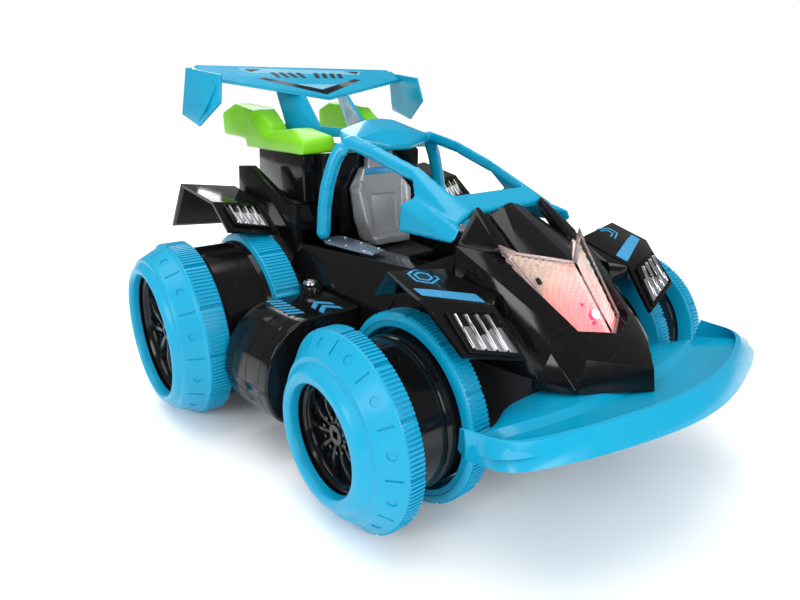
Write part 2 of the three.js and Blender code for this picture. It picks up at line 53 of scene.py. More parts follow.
SECTORS = RIB_STEPS // SECTOR
RIB_HEIGHT = 0.7
LATHE_STEPS = 144
DUST_GREY = (0.55, 0.56, 0.58, 1)
WHEELS = {
    "front": {"drum": 33.0, "hole": 35.4, "rim": 22.7, "shoulder": 100.0},
    "rear": {"drum": 43.0, "hole": 45.0, "rim": 32.5, "shoulder": 118.9},
}


def make(tree, kind, inputs=None, **settings):
    made = tree.nodes.new(kind)
    for name, value in settings.items():
        setattr(made, name, value)
    for name, value in (inputs or {}).items():
        if isinstance(value, bpy.types.NodeSocket):
            tree.links.new(value, made.inputs[name])
        else:
            made.inputs[name].default_value = value
    return made


def effect(name, inputs, outputs):
    """An empty node group with named sockets, and its two end nodes."""
    tree = bpy.data.node_groups.new(name, "ShaderNodeTree")
    for direction, sockets in (("INPUT", inputs), ("OUTPUT", outputs)):
        for label, kind, value in sockets:
            made = tree.interface.new_socket(label, in_out=direction, socket_type="NodeSocket" + kind)
            if value is not None:
                made.default_value = value
    start = make(tree, "NodeGroupInput").outputs
    end = make(tree, "NodeGroupOutput").inputs
    return tree, start, end


def noise(tree, place, scale, detail):
    inputs = {"Vector": place, "Scale": scale, "Detail": detail}
    return make(tree, "ShaderNodeTexNoise", inputs).outputs["Fac"]


def mapped(tree, value, low, high, to_low=0.0, to_high=1.0, **settings):
    """A value carried from one range to another."""
    ends = {"Value": value, "From Min": low, "From Max": high, "To Min": to_low, "To Max": to_high}
    return make(tree, "ShaderNodeMapRange", ends, **settings).outputs[0]


def moulded_surface():
    """Moulded plastic: colour that drifts, fine dust, hazy patches in the gloss, and mould grain."""
    tree, start, end = effect(
        "moulded_surface",
        [("Colour", "Color", (0.5, 0.5, 0.5, 1)), ("Drift", "Float", 0.1), ("Roughness", "Float", 0.3),
         ("Haze", "Float", 0.1), ("Dust", "Float", 0.1), ("Grain", "Float", 0.1)],
        [("Colour", "Color", None), ("Roughness", "Float", None), ("Normal", "Vector", None)],
    )
    place = make(tree, "ShaderNodeTexCoord").outputs["Object"]
    fine = noise(tree, place, 1400, 3)
    tone = mapped(tree, noise(tree, place, 26, 4), 0.3, 0.7, -1)
    shade = make(tree, "ShaderNodeMath", {0: tone, 1: start["Drift"], 2: 1.0},
                 operation="MULTIPLY_ADD")
    tint = make(tree, "ShaderNodeVectorMath", {0: start["Colour"], "Scale": shade.outputs[0]},
                operation="SCALE")
    dots = mapped(tree, noise(tree, place, 620, 2), 0.68, 0.76)
    dusty = make(tree, "ShaderNodeMath", {0: dots, 1: start["Dust"]}, operation="MULTIPLY")
    mixed = make(tree, "ShaderNodeMix", {"Factor": dusty.outputs[0], "A": tint.outputs[0], "B": DUST_GREY},
                 data_type="RGBA")
    patch = mapped(tree, noise(tree, place, 70, 6), 0.42, 0.72)
    rough = make(tree, "ShaderNodeMath", {0: patch, 1: start["Haze"], 2: start["Roughness"]},
                 operation="MULTIPLY_ADD")
    bump = make(tree, "ShaderNodeBump", {"Height": fine, "Strength": start["Grain"], "Distance": 0.0002})
    tree.links.new(mixed.outputs["Result"], end["Colour"])
    tree.links.new(rough.outputs[0], end["Roughness"])
    tree.links.new(bump.outputs[0], end["Normal"])
    return tree


MOULDED = moulded_surface()


def plastic(name, colour, roughness=0.3, haze=0.1, drift=0.08, dust=0.08, grain=0.08, coat=0.0,
            metallic=0.0, specular=0.4):
    material = bpy.data.materials.new(name)
    material.use_nodes = True
    tree = material.node_tree
    shader = tree.nodes["Principled BSDF"]
    surface = make(tree, "ShaderNodeGroup", node_tree=MOULDED)
    values = {"Colour": colour, "Drift": drift, "Roughness": roughness, "Haze": haze, "Dust": dust,
              "Grain": grain}
    for label, value in values.items():
        surface.inputs[label].default_value = value
    for label, socket in (("Colour", "Base Color"), ("Roughness", "Roughness"), ("Normal", "Normal")):
        tree.links.new(surface.outputs[label], shader.inputs[socket])
    for label, value in (("Specular IOR Level", specular), ("Coat Weight", coat), ("Coat Roughness", 0.05),
                         ("Metallic", metallic)):
        shader.inputs[label].default_value = value
    return material


def placed(name, data):
    """A new object in the scene."""
    made = bpy.data.objects.new(name, data)
    bpy.context.scene.collection.objects.link(made)
    return made


def piece(bm, name, material, nodes=(), body="chassis", sharp=32):
    """A finished bmesh in millimetres becomes an object in metres that rides on its body."""
    bmesh.ops.remove_doubles(bm, verts=bm.verts, dist=0.002)
    bmesh.ops.recalc_face_normals(bm, faces=bm.faces)
    bmesh.ops.scale(bm, vec=(MM, MM, MM), verts=bm.verts)
    mesh = bpy.data.meshes.new(name)
    bm.to_mesh(mesh)
    bm.free()
    mesh.materials.append(material)
    mesh.shade_smooth()
    mesh.set_sharp_from_angle(angle=radians(sharp))
    made = placed(name, mesh)
    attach(made, body)
    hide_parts(*nodes)


def turned(profile, centre, steps):
    """A closed outline of (radius, y) points, spun about the wheel's axis."""
    bm = bmesh.new()
    ring = [bm.verts.new((centre.x, y, centre.z + r)) for r, y in profile]
    edges = [bm.edges.new(pair) for pair in zip(ring, ring[1:] + ring[:1])]
    bmesh.ops.spin(bm, geom=ring + edges, cent=centre, axis=(0, 1, 0), angle=2 * pi, steps=steps,
                   use_merge=True)
    return bm


def faces_between(bm, centre, radii, depths):
    """Faces whose middles lie between two radii and two depths, with the step of the turn each is on."""
    found = []
    for face in bm.faces:
        middle = face.calc_center_median()
        radius = hypot(middle.x - centre.x, middle.z - centre.z)
        if radii[0] < radius < radii[1] and depths[0] < abs(middle.y) < depths[1]:
            turn = atan2(middle.x - centre.x, middle.z - centre.z) % (2 * pi)
            found.append((face, int(turn / (2 * pi) * RIB_STEPS)))
    return found


def knurl(bm, centre, radius, depths):
    """Cross ribs on a tread band, with a wider notch at each sector's edge."""
    band = faces_between(bm, centre, (radius - 1.5, radius + 0.1), depths)
    ribs = [face for face, step in band if step % 2 == 0 and step % SECTOR]
    notches = [face for face, step in band if step % SECTOR in (0, SECTOR - 1)]
    bmesh.ops.inset_individual(bm, faces=ribs, thickness=0.13, depth=RIB_HEIGHT)
    bmesh.ops.inset_individual(bm, faces=notches, thickness=0.05, depth=-0.5)


def side_of(bm, sign):
    """Shapes are drawn for the right side; the left one is the mirror image."""
    if sign > 0:
        bmesh.ops.scale(bm, vec=(1, -1, 1), verts=bm.verts)


def millimetres(node):
    """The low and high corners of a CAD node."""
    return (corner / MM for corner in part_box(node))


def each_wheel(part):
    """Each wheel's end, measures, side and sign, and the depths between which one of its parts lies."""
    for end, w in WHEELS.items():
        for side, sign in SIDES:
            low, high = millimetres(f"{end}_{part}_{side}")
            w.setdefault("radius", (high.z - low.z) / 2)
            w.setdefault("centre", Vector(((low.x + high.x) / 2, 0, (low.z + high.z) / 2)))
            yield end, w, side, sign, *sorted((abs(low.y), abs(high.y)))


wheel_blue = plastic("wheel_blue", CYAN, roughness=0.34, haze=0.1, drift=0.05, dust=0.04, grain=0.12,
                     coat=0.08, specular=0.3)
for end, w, side, sign, near, far in each_wheel("inner_ring"):
    base = w["radius"] - RIB_HEIGHT
    bore = w["drum"] + 0.4
    ring = turned([
        (bore, -near), (base - 2, -near), (base - 0.6, -near - 0.3), (base, -near - 0.9), (base, -far + 1.3),
        (base - 0.3, -far + 0.7), (base - 1.2, -far + 0.2), (base - 2.2, -far), (base - 3, -far),
        (base - 3.3, -far + 0.35), (w["hole"] + 1, -far + 0.35), (w["hole"] + 0.3, -far + 0.5),
        (w["hole"], -far + 1.1), (w["hole"], -near - 2.4), (bore, -near - 2),
    ], w["centre"], RIB_STEPS)
    knurl(ring, w["centre"], w["radius"], (near + 1, far - 1.4))
    side_of(ring, sign)
    piece(ring, f"{end}_knurled_ring_{side}", wheel_blue, [f"{end}_inner_ring_{side}"],
          body=f"{end}_{side}_inner_wheel")

# ---- Drums ----
# The black drum that carries each wheel, turned here as a moulded can with shallow bands. The hub's
# skirt slides inside it, and it shows in the gap between the two blue rings.
BLACK = (0.0045, 0.0045, 0.005, 1)
gloss_black = plastic("gloss_black", BLACK, roughness=0.09, haze=0.1, drift=0.1, dust=0.035, grain=0.03,
                      specular=0.33)
for end, w, side, sign, near, far in each_wheel("sleeve"):
    outer = w["drum"]
    waist = near + 0.42 * (far - near)
    drum = turned([
        (2.6, -near), (outer - 1, -near), (outer, -near - 1), (outer, -waist), (outer - 0.25, -waist - 0.5),
        (outer - 0.9, -waist - 0.8), (outer - 0.9, -waist - 2.4), (outer - 0.5, -waist - 2.9),
        (outer - 0.5, -far + 3.2), (outer - 0.1, -far + 2.6), (outer, -far + 1), (outer - 0.6, -far),
        (outer - 1.6, -far), (outer - 2, -far + 0.5), (outer - 2, -near - 2.5), (outer - 2.6, -near - 2),
        (6, -near - 2), (6, -near - 6), (2.6, -near - 6),
    ], w["centre"], LATHE_STEPS)
    side_of(drum, sign)
    piece(drum, f"{end}_drum_{side}", gloss_black, [f"{end}_sleeve_{side}"],
          body=f"{end}_{side}_inner_wheel")

# ---- Tyres ----
# The wide outer ring of each wheel, one hard cyan moulding: knurled tread, a sloping shoulder with
# radial slots and shallow dimples by turns, a rounded groove and a plump rim round the hub.
DIMPLE_RADIUS = 2.0
DRAWN_WIDTH = 19.3  # the front tyre from tread to rim, which the profile is drawn for


def blank(bm):
    """A bmesh turned into a passing object that a modifier can work on."""
    bmesh.ops.recalc_face_normals(bm, faces=bm.faces)
    mesh = bpy.data.meshes.new("blank")
    bm.to_mesh(mesh)
    bm.free()
    return placed("blank", mesh)


def worked(made, kind, **settings):
    """The bmesh that a modifier makes of a blank, which is then removed."""
    modifier = made.modifiers.new(kind, kind)
    for name, value in settings.items():
        setattr(modifier, name, value)
    bpy.context.view_layer.update()
    mesh = bpy.data.meshes.new_from_object(made.evaluated_get(bpy.context.evaluated_depsgraph_get()))
    bpy.data.objects.remove(made)
    result = bmesh.new()
    result.from_mesh(mesh)
    return result


def cone(bm, place, foot, top, depth, segments):
    """A capped cone or cylinder along its place's own z."""
    bmesh.ops.create_cone(bm, cap_ends=True, segments=segments, radius1=foot, radius2=top, depth=depth,
                          matrix=place)


def carved(bm, cutter):
    """bm with the cutter's closed shapes taken out of it."""
    stock, tool = blank(bm), blank(cutter)
    result = worked(stock, "BOOLEAN", object=tool, operation="DIFFERENCE", solver="EXACT")
    bpy.data.objects.remove(tool)
    return result


for end, w, side, sign, near, face in each_wheel("tyre"):
    radius, rim, shoulder = w["radius"], w["rim"], w["shoulder"]
    base = radius - RIB_HEIGHT
    drum_bore = w["drum"] + 0.5
    wide = (radius - rim) / DRAWN_WIDTH
    valley = rim + 8.8 * wide
    slope_top = Vector((base - 0.9, -shoulder - 0.6))
    slope_foot = Vector((valley + 2.6 * wide, -face + 6.3 * wide))
    steps = [slope_top.lerp(slope_foot, t) for t in (0.12, 0.86)]
    behind = [slope_foot + Vector((-0.6, 0.9))] + [
        slope_top.lerp(slope_foot, t) - Vector((wall, 0)) for t, wall in ((0.54, 1.4), (0.16, 1.1))]
    behind = [(min(drum_bore, r), y) for r, y in behind]
    tyre = turned([
        (drum_bore, -near), (base - 2, -near), (base - 0.6, -near - 0.2), (base, -near - 0.8),
        (base, -shoulder + 0.5), (base - 0.25, -shoulder - 0.1), slope_top, *steps, slope_foot,
        (valley + 2 * wide, -face + 5.3 * wide), (valley + 1.2 * wide, -face + 4.7 * wide),
        (valley + 0.2 * wide, -face + 4.7 * wide), (valley - 0.9 * wide, -face + 4.2 * wide),
        (valley - 1.8 * wide, -face + 3 * wide), (valley - 2.9 * wide, -face + 1.4 * wide),
        (valley - 4.2 * wide, -face + 0.35), (rim + 2.9 * wide, -face), (rim + 1.5 * wide, -face + 0.3),
        (rim + 0.5 * wide, -face + 1.1), (rim, -face + 2.4), (rim, -face + 5), *behind,
    ], w["centre"], RIB_STEPS)
    knurl(tyre, w["centre"], radius, (near + 1, shoulder - 0.4))
    slots = [f for f, step in faces_between(tyre, w["centre"], (steps[1][0], steps[0][0]),
                                            (shoulder, face)) if step % SECTOR == 0]
    bmesh.ops.inset_individual(tyre, faces=slots, thickness=0.06, depth=-0.5)
    lean = atan2(slope_top[0] - slope_foot[0], slope_foot[1] - slope_top[1])
    across, along = (slope_top + slope_foot) / 2
    dimples = bmesh.new()
    place = Matrix.Translation(w["centre"] + Vector((0, along, across))) @ Matrix.Rotation(pi - lean, 4, "X")
    cone(dimples, place, DIMPLE_RADIUS, DIMPLE_RADIUS, 0.9, 20)
    half_sector = Matrix.Rotation(pi / RIB_STEPS * (SECTOR + 1), 3, "Y")
    bmesh.ops.rotate(dimples, verts=dimples.verts, cent=w["centre"], matrix=half_sector)
    bmesh.ops.spin(dimples, geom=dimples.verts[:] + dimples.edges[:] + dimples.faces[:], cent=w["centre"],
                   axis=(0, 1, 0), angle=2 * pi * (SECTORS - 1) / SECTORS, steps=SECTORS - 1,
                   use_duplicate=True)
    tyre = carved(tyre, dimples)
    side_of(tyre, sign)
    piece(tyre, f"{end}_tread_{side}", wheel_blue, [f"{end}_tyre_{side}"],
          body=f"{end}_{side}_outer_wheel", sharp=28)

# ---- Hubs ----
# The black spoked hub in each tyre: a cup with a raised rim, ten petal-shaped spokes, small bolt
# heads round a square key hole, and a skirt behind that slides in the drum.
SPOKES = 10
HUB_STEPS = 96


def rounded(bm, edges, width, segments=3, affect="EDGES"):
    bmesh.ops.bevel(bm, geom=edges, offset=width, segments=segments, profile=0.5, affect=affect,
                    clamp_overlap=True, material=-1)


def block(bm, low, high, matrix=None, bevel=0.3):
    """A rounded block between two corners, set in place by a matrix."""
    size = Vector(high) - Vector(low)
    middle = (Vector(high) + Vector(low)) / 2
    part = bmesh.new()
    bmesh.ops.create_cube(part, size=1)
    bmesh.ops.scale(part, vec=size, verts=part.verts)
    rounded(part, part.edges[:], bevel, 2)
    bmesh.ops.translate(part, vec=middle, verts=part.verts)
    if matrix:
        bmesh.ops.transform(part, matrix=matrix, verts=part.verts)
    into(bm, part)


def soften(bm, width, segments=3, crease=18):
    """Rounds every edge that turns by more than the crease angle, as a mould does."""
    edges = [e for e in bm.edges if len(e.link_faces) == 2 and e.calc_face_angle() > radians(crease)]
    rounded(bm, edges, width, segments)
    return bm


def hull(points, width=0.0, segments=3, crease=12):
    """The closed solid round some points, with its edges rounded."""
    bm = bmesh.new()
    for point in points:
        bm.verts.new(point)
    made = bmesh.ops.convex_hull(bm, input=bm.verts)
    spare = {g for g in made["geom_interior"] + made["geom_unused"] if isinstance(g, bmesh.types.BMVert)}
    bmesh.ops.delete(bm, geom=list(spare), context="VERTS")
    bmesh.ops.dissolve_limit(bm, angle_limit=radians(1.5), verts=bm.verts, edges=bm.edges)
    if width:
        soften(bm, width, segments, crease)
    return bm


def into(bm, part):
    """Adds a finished part to a larger bmesh."""
    mesh = bpy.data.meshes.new("part")
    part.to_mesh(mesh)
    part.free()
    bm.from_mesh(mesh)
    bpy.data.meshes.remove(mesh)


for end, w, side, sign, near, face in each_wheel("hub"):
    reach, rim = w["drum"] - 2.7, w["rim"]
    hub = turned([
        (0.6, -face + 6), (reach - 2, -face + 6), (reach - 2, -near), (reach, -near), (reach, -face),
        (rim - 0.2, -face), (rim - 0.9, -face + 0.3), (rim - 1.6, -face + 1.3), (rim - 2.6, -face + 1.5),
        (rim - 3, -face + 2.2), (rim - 3.3, -face + 4.4), (8, -face + 4.9), (7.5, -face + 3.4),
        (4.6, -face + 2.9), (4.2, -face + 2.1), (0.6, -face + 2.1),
    ], w["centre"], HUB_STEPS)
    scale = rim / WHEELS["front"]["rim"]
    upright = Matrix.Rotation(pi / 2, 4, "X")
    front_face = Matrix.Translation(w["centre"] + Vector((0, -face + 3, 0)))
    key = bmesh.new()
    block(key, (-1.7, -1.7, -2), (1.7, 1.7, 4), front_face @ upright, bevel=0.2)
    hub = carved(hub, key)
    for number in range(SPOKES):
        turn = front_face @ Matrix.Rotation(2 * pi * (number + 0.25) / SPOKES, 4, "Y") @ upright
        spoke = hull([(x * hand * scale, y, z) for hand in (-1, 1) for x, y, z in (
            (1.0, 4.6, -1.9), (0.6, 4.6, 0.4), (1.5, 0.5 * rim, -1.9), (0.85, 0.5 * rim, 1.3),
            (2.7, rim - 2.6, -2.2), (1.5, rim - 3.4, 0.2))], 0.35, 2)
        bmesh.ops.transform(spoke, matrix=turn, verts=spoke.verts)
        into(hub, spoke)
        bolt = turn @ Matrix.Rotation(pi / SPOKES, 4, "Z") @ Matrix.Translation((0, 7.4 * scale, 0))
        cone(hub, bolt, 1.15, 0.85, 2.6, 6)
        for hand in (-1, 1):
            rivet = turn @ Matrix.Translation((2.4 * hand * scale, rim - 4.4, -0.4))
            cone(hub, rivet, 0.55, 0.4, 1.2, 10)
    side_of(hub, sign)
    piece(hub, f"{end}_spoked_hub_{side}", gloss_black, [f"{end}_hub_{side}"],
          body=f"{end}_{side}_outer_wheel", sharp=30)

# ---- Axles, gears and motors ----
# The drive inside the chassis: steel axles and motor cans, brass pinions and bushes, natural nylon
# gears pressed or turning on their pins. They keep their machined shapes and get their finishes.
def dress(material, *nodes):
    for node in nodes:
        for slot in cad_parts[node].material_slots:
            slot.material = material


def lathed_metal(name, colour, roughness):
    """Turned or drawn metal: the moulded surface's drift and dust, with fine turned rings."""
    material = plastic(name, colour, roughness=roughness, haze=0.12, drift=0.06, dust=0.05, grain=0.05,
                       metallic=1.0)
    tree = material.node_tree
    shader = tree.nodes["Principled BSDF"]
    place = make(tree, "ShaderNodeTexCoord").outputs["Object"]
    rings = make(tree, "ShaderNodeTexWave", {"Vector": place, "Scale": 900, "Distortion": 0.6},
                 bands_direction="Y").outputs["Fac"]
    bump = make(tree, "ShaderNodeBump", {"Height": rings, "Strength": 0.15, "Distance": 0.0001})
    tree.links.new(bump.outputs[0], shader.inputs["Normal"])
    return material


both_sides = [side for side, sign in SIDES]
dress(lathed_metal("axle_steel", (0.55, 0.55, 0.57, 1), 0.26), "front_axle", "battery_door_screw",
      *[f"{part}_{side}" for part in ("rear_axle", "drive_motor") for side in both_sides])
dress(lathed_metal("brass", (0.62, 0.43, 0.16, 1), 0.28),
      *[f"{part}_{side}" for part in ("motor_pinion", "rear_bush") for side in both_sides])
dress(plastic("gear_nylon", (0.68, 0.66, 0.57, 1), roughness=0.45, drift=0.05, grain=0.15),
      *[f"{part}_{side}" for part in ("axle_gear", "compound_gear") for side in both_sides])

# ---- Chassis ----
# The tray that carries everything, moulded in black plastic with rounded edges: a battery door held
# by one screw, a slide switch in its floor, and the battery and board inside.
def copied(node):
    """A CAD node's shape in millimetres, merged from its loose triangles into whole faces."""
    bm = bmesh.new()
    bm.from_mesh(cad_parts[node].data)
    bmesh.ops.scale(bm, vec=(1 / MM, 1 / MM, 1 / MM), verts=bm.verts)
    bmesh.ops.remove_doubles(bm, verts=bm.verts, dist=0.01)
    bmesh.ops.dissolve_limit(bm, angle_limit=radians(1.2), verts=bm.verts, edges=bm.edges)
    return bm


def moulded(node, name, width, material):
    """A piece that keeps its CAD shape, with its edges rounded."""
    piece(soften(copied(node), width), name, material, [node])


satin_black = plastic("satin_black", (0.012, 0.012, 0.013, 1), roughness=0.34, haze=0.15, drift=0.15,
                      dust=0.05, grain=0.35)
moulded("chassis_tray", "tray", 1.2, satin_black)

door = soften(copied("battery_door"), 0.4, 2)
low, high = millimetres("battery_door")
for row in range(5):
    x = low.x + 8 + 3.2 * row
    block(door, (x, -12, low.z - 0.5), (x + 1.4, 12, low.z + 0.3), bevel=0.3)
piece(door, "ribbed_battery_door", satin_black, ["battery_door"])

knob = soften(copied("power_switch_knob"), 0.3, 2)
low, high = millimetres("power_switch_knob")
for row in range(3):
    x = low.x + 2.5 + 1.2 * row
    block(knob, (x, low.y + 1.6, low.z - 0.3), (x + 0.5, high.y - 1.6, low.z + 0.2), bevel=0.1)
piece(knob, "switch_slide", satin_black, ["power_switch_knob"], body="switch_knob")

dress(plastic("battery_wrap", (0.03, 0.17, 0.07, 1), roughness=0.3, drift=0.1, grain=0.1), "battery_pack")
dress(plastic("board_green", (0.012, 0.12, 0.035, 1), roughness=0.35, drift=0.2, grain=0.2), "circuit_board")

# ---- Body tub and side pods ----
# The glossy black body: a tub with the cockpit well, screwed down over the tray, and on each side a
# barrel-sided pod with a flat deck, panel grooves and a rounded lip at its front.
def both(*points):
    return [point for x, y, z in points for point in ((x, -y, z), (x, y, z))]


def groove(bm, point, normal, where, width=0.7, depth=0.4):
    """A panel groove along the line where a plane meets the surface."""
    everything = bm.verts[:] + bm.edges[:] + bm.faces[:]
    cut = bmesh.ops.bisect_plane(bm, geom=everything, dist=0.0001, plane_co=point, plane_no=normal)
    line = [g for g in cut["geom_cut"] if isinstance(g, bmesh.types.BMEdge) and g.is_valid]
    line = [e for e in line if where((e.verts[0].co + e.verts[1].co) / 2)]
    rounded(bm, line, width / 2, 2)
    bm.normal_update()
    direction = Vector(normal).normalized()
    floor = [v for v in bm.verts if abs((v.co - Vector(point)).dot(direction)) < 0.0005 and where(v.co)]
    for vert in floor:
        vert.co -= vert.normal * depth


bright_metal = plastic("bright_metal", (0.78, 0.78, 0.8, 1), roughness=0.12, haze=0.1, grain=0.03,
                       metallic=1.0)
moulded("body_tub", "tub", 1.4, gloss_black)

SCREW = Vector((-21.5, -62.5, 75.4))
for side, sign in SIDES:
    boss = bmesh.new()
    for foot, top, z0, z1 in ((6.2, 5.2, 69, 73.6), (3.6, 3.2, 73.6, 74.4)):
        cone(boss, Matrix.Translation((SCREW.x, SCREW.y, (z0 + z1) / 2)), foot, top, z1 - z0, 40)
    bmesh.ops.scale(boss, vec=(1.25, 1, 1), verts=boss.verts, space=Matrix.Translation((-SCREW.x, 0, 0)))
    soften(boss, 0.7, 3, crease=40)
    side_of(boss, sign)
    piece(boss, f"screw_boss_{side}", gloss_black)
    screw = bmesh.new()
    place = Matrix.Translation(SCREW)
    cone(screw, place, 4.1, 3.0, 1.8, 32)
    soften(screw, 0.35, 3, crease=40)
    for turn in (0.4, 0.4 + pi / 2):
        block(screw, (-1.9, -0.4, 0.5), (1.9, 0.4, 1.2), place @ Matrix.Rotation(turn, 4, "Z"), bevel=0.15)
    side_of(screw, sign)
    piece(screw, f"pod_screw_{side}", bright_metal)

for side, sign in SIDES:
    low, high = millimetres("side_pod_right")
    pod = hull([(x, y, z) for x, out in ((low.x, 1.0), (high.x, -3.0)) for y, z in (
        (-57, high.z), (-94 - out, high.z), (-106 - out, 60), (-111.5 - out, 47), (-111.5 - out, 33),
        (-104 - out, 19.5), (-57, low.z))])
    ridges = [e for e in pod.edges if abs(e.verts[0].co.x - e.verts[1].co.x) > 5
              and max(v.co.y for v in e.verts) < -90]
    rounded(pod, ridges, 7, 5)
    for end_x, width, segments in ((high.x, 3.2, 5), (low.x, 1.6, 3)):
        rims = [e for e in pod.edges if all(abs(v.co.x - end_x) < 0.01 for v in e.verts)]
        rounded(pod, rims, width, segments)
    groove(pod, (high.x - 6.5, 0, 0), (1, 0, 0), lambda m: m.y < -80, width=0.8, depth=0.5)
    groove(pod, (low.x + 9, 0, 0), (1, 0, 0), lambda m: m.y < -96 and 38 < m.z < 66)
    groove(pod, (low.x + 19, 0, 0), (1, 0, 0), lambda m: m.y < -94 and 30 < m.z < 68)
    groove(pod, (0, 0, 34), (0.1, 0, 1), lambda m: m.y < -104 and m.x < high.x - 7)
    side_of(pod, sign)
    piece(pod, f"barrel_pod_{side}", gloss_black, [f"side_pod_{side}"])

# ---- Stickers on the pods ----
# Printed film stickers, each a thin sheet with rounded corners pressed on a flat face: slanted bars
# and a double chevron on each pod's deck, in pale blue with a fine metallic fleck.
FILM_THICKNESS = 0.14


def film(name, colour, metallic=0.25):
    """Printed film: a fine screen of metallic flecks under a clear coat."""
    material = plastic(name, colour, roughness=0.24, haze=0.12, drift=0.08, dust=0.05, grain=0.05, coat=0.4,
                       metallic=metallic)
    tree = material.node_tree
    place = make(tree, "ShaderNodeTexCoord").outputs["Object"]
    cells = make(tree, "ShaderNodeTexVoronoi", {"Vector": place, "Scale": 2200})
    fleck = mapped(tree, cells.outputs["Distance"], 0, 0.7, metallic + 0.35, metallic * 0.4)
    tree.links.new(fleck, tree.nodes["Principled BSDF"].inputs["Metallic"])
    return material


def sticker(bm, outline, lift=0.12, corner=0.5):
    """Adds a thin sheet over a flat outline of points."""
    sheet = bmesh.new()
    face = sheet.faces.new([sheet.verts.new(point) for point in outline])
    sheet.normal_update()
    if face.normal.z < 0:
        face.normal_flip()
    out = face.normal.copy()
    bmesh.ops.translate(sheet, vec=out * (lift - FILM_THICKNESS), verts=sheet.verts)
    if corner:
        rounded(sheet, sheet.verts[:], corner, affect="VERTICES")
    top = bmesh.ops.extrude_face_region(sheet, geom=sheet.faces[:])["geom"]
    top = [g for g in top if isinstance(g, bmesh.types.BMVert)]
    bmesh.ops.translate(sheet, vec=out * FILM_THICKNESS, verts=top)
    bmesh.ops.recalc_face_normals(sheet, faces=sheet.faces)
    into(bm, sheet)


def laid(plane, outline):
    """Points of (x, y) put on the slope that passes through three points."""
    a, b, c = (Vector(p) for p in plane)
    normal = (b - a).cross(c - a)
    return [(x, y, a.z - (normal.x * (x - a.x) + normal.y * (y - a.y)) / normal.z) for x, y in outline]


film_blue = film("film_blue", (0.05, 0.33, 0.60, 1))
film_pale = film("film_pale", (0.20, 0.52, 0.70, 1))
film_dark = film("film_dark", (0.02, 0.022, 0.026, 1), metallic=0.1)
DECK = ((0, -60, 70.5), (10, -60, 70.5), (0, -90, 70.5))
for side, sign in SIDES:
    marks = bmesh.new()
    for bar in range(6):
        x = -20.5 + 4.3 * bar
        sticker(marks, laid(DECK, [(x, -89), (x + 2.4, -89), (x + 5.4, -82), (x + 3, -82)]), corner=0.3)
    for chevron in (0, 1):
        x, y = -5.5 + 7.2 * chevron, -70
        sticker(marks, laid(DECK, [(x, y), (x + 6.5, y - 5.5), (x + 10.5, y - 5.5), (x + 4.4, y),
                                   (x + 10.5, y + 5.5), (x + 6.5, y + 5.5)]), corner=0.25)
    side_of(marks, sign)
    piece(marks, f"deck_marks_{side}", film_blue)

# ---- Sill plates ----
# A thin painted metal plate in grey-blue lies on each sill beside the seat, its edges softened. Six
# bright domed rivets in two rows hold it down.
plate_grey = plastic("plate_grey", (0.27, 0.35, 0.45, 1), roughness=0.26, haze=0.2, drift=0.15, grain=0.2,
                     metallic=0.75)
for side, sign in SIDES:
    plate = soften(copied(f"sill_plate_{side}"), 0.35, 2)
    piece(plate, f"sill_trim_{side}", plate_grey, [f"sill_plate_{side}"])
    low, high = millimetres("sill_plate_right")
    rivets = bmesh.new()
    for column in range(3):
        for y in (low.y + 4.2 + 0.6 * column, high.y - 2):
            x = low.x + 7 + column * (high.x - low.x - 14) / 2
            dome = bmesh.ops.create_uvsphere(rivets, u_segments=16, v_segments=8, radius=0.95)["verts"]
            bmesh.ops.scale(rivets, vec=(1, 1, 0.55), verts=dome)
            bmesh.ops.translate(rivets, vec=(x, y, high.z), verts=dome)
    side_of(rivets, sign)
    piece(rivets, f"sill_rivets_{side}", bright_metal)

# ---- Nose, lens and lamp ----
# The black nose shell with its hood, fins and V prow; in its V bed lies a clear lens over a quilted
# plated reflector, with a red lamp at the tip whose light is painted on the reflector as a glow.
def upward(along, across):
    """The upper of the two directions square to a face."""
    out = along.cross(across).normalized()
    return out if out.z > 0 else -out


def emission_near_lamp(tree, near, far, cool, hot, strength, interpolation="LINEAR"):
    """Light given off by a material, hot within one distance of the lamp and cool beyond another."""
    place = make(tree, "ShaderNodeTexCoord").outputs["Object"]
    reach = make(tree, "ShaderNodeVectorMath", {0: place, 1: LAMP * MM}, operation="DISTANCE")
    close = mapped(tree, reach.outputs["Value"], near, far, 1, 0, interpolation_type=interpolation)
    colour = make(tree, "ShaderNodeMix", {"Factor": close, "A": cool, "B": hot}, data_type="RGBA")
    shader = tree.nodes["Principled BSDF"]
    tree.links.new(colour.outputs["Result"], shader.inputs["Emission Color"])
    shader.inputs["Emission Strength"].default_value = strength


LAMP = Vector((108.6, -1.2, 81.5))
VENT = ((108.6, 29.6, 72), (107, 35.2, 60), (120.6, 27.4, 58.6), (108.6, 26, 72), (107, 30, 60),
        (119, 24, 59))
nose = soften(copied("nose_shell"), 0.8)
into(nose, hull(both((56, -12.6, 116.4), (57.5, -5, 119.6), (80, -18.5, 104), (56, -12, 113.4),
                     (78, -18.5, 100))
                + [(56, 0, 121.2), (93.4, 0, 100.7), (56, 0, 118), (90, 0, 99)], 0.6, 3))
for hand in (-1, 1):
    into(nose, hull([(x, hand * y, z) for x, y, z in (
        (56.2, 20.2, 121.6), (56.6, 23, 120.6), (61.3, 37.2, 108.4), (76.1, 26.6, 106.2), (78.4, 18.8, 104.2),
        (57.6, 19.4, 116), (63, 35, 104), (74, 20, 99))], 0.6, 3))
    into(nose, hull([(x, hand * y, z) for x, y, z in VENT], 0.5, 2, crease=20))
piece(nose, "nose", gloss_black, ["nose_shell"])

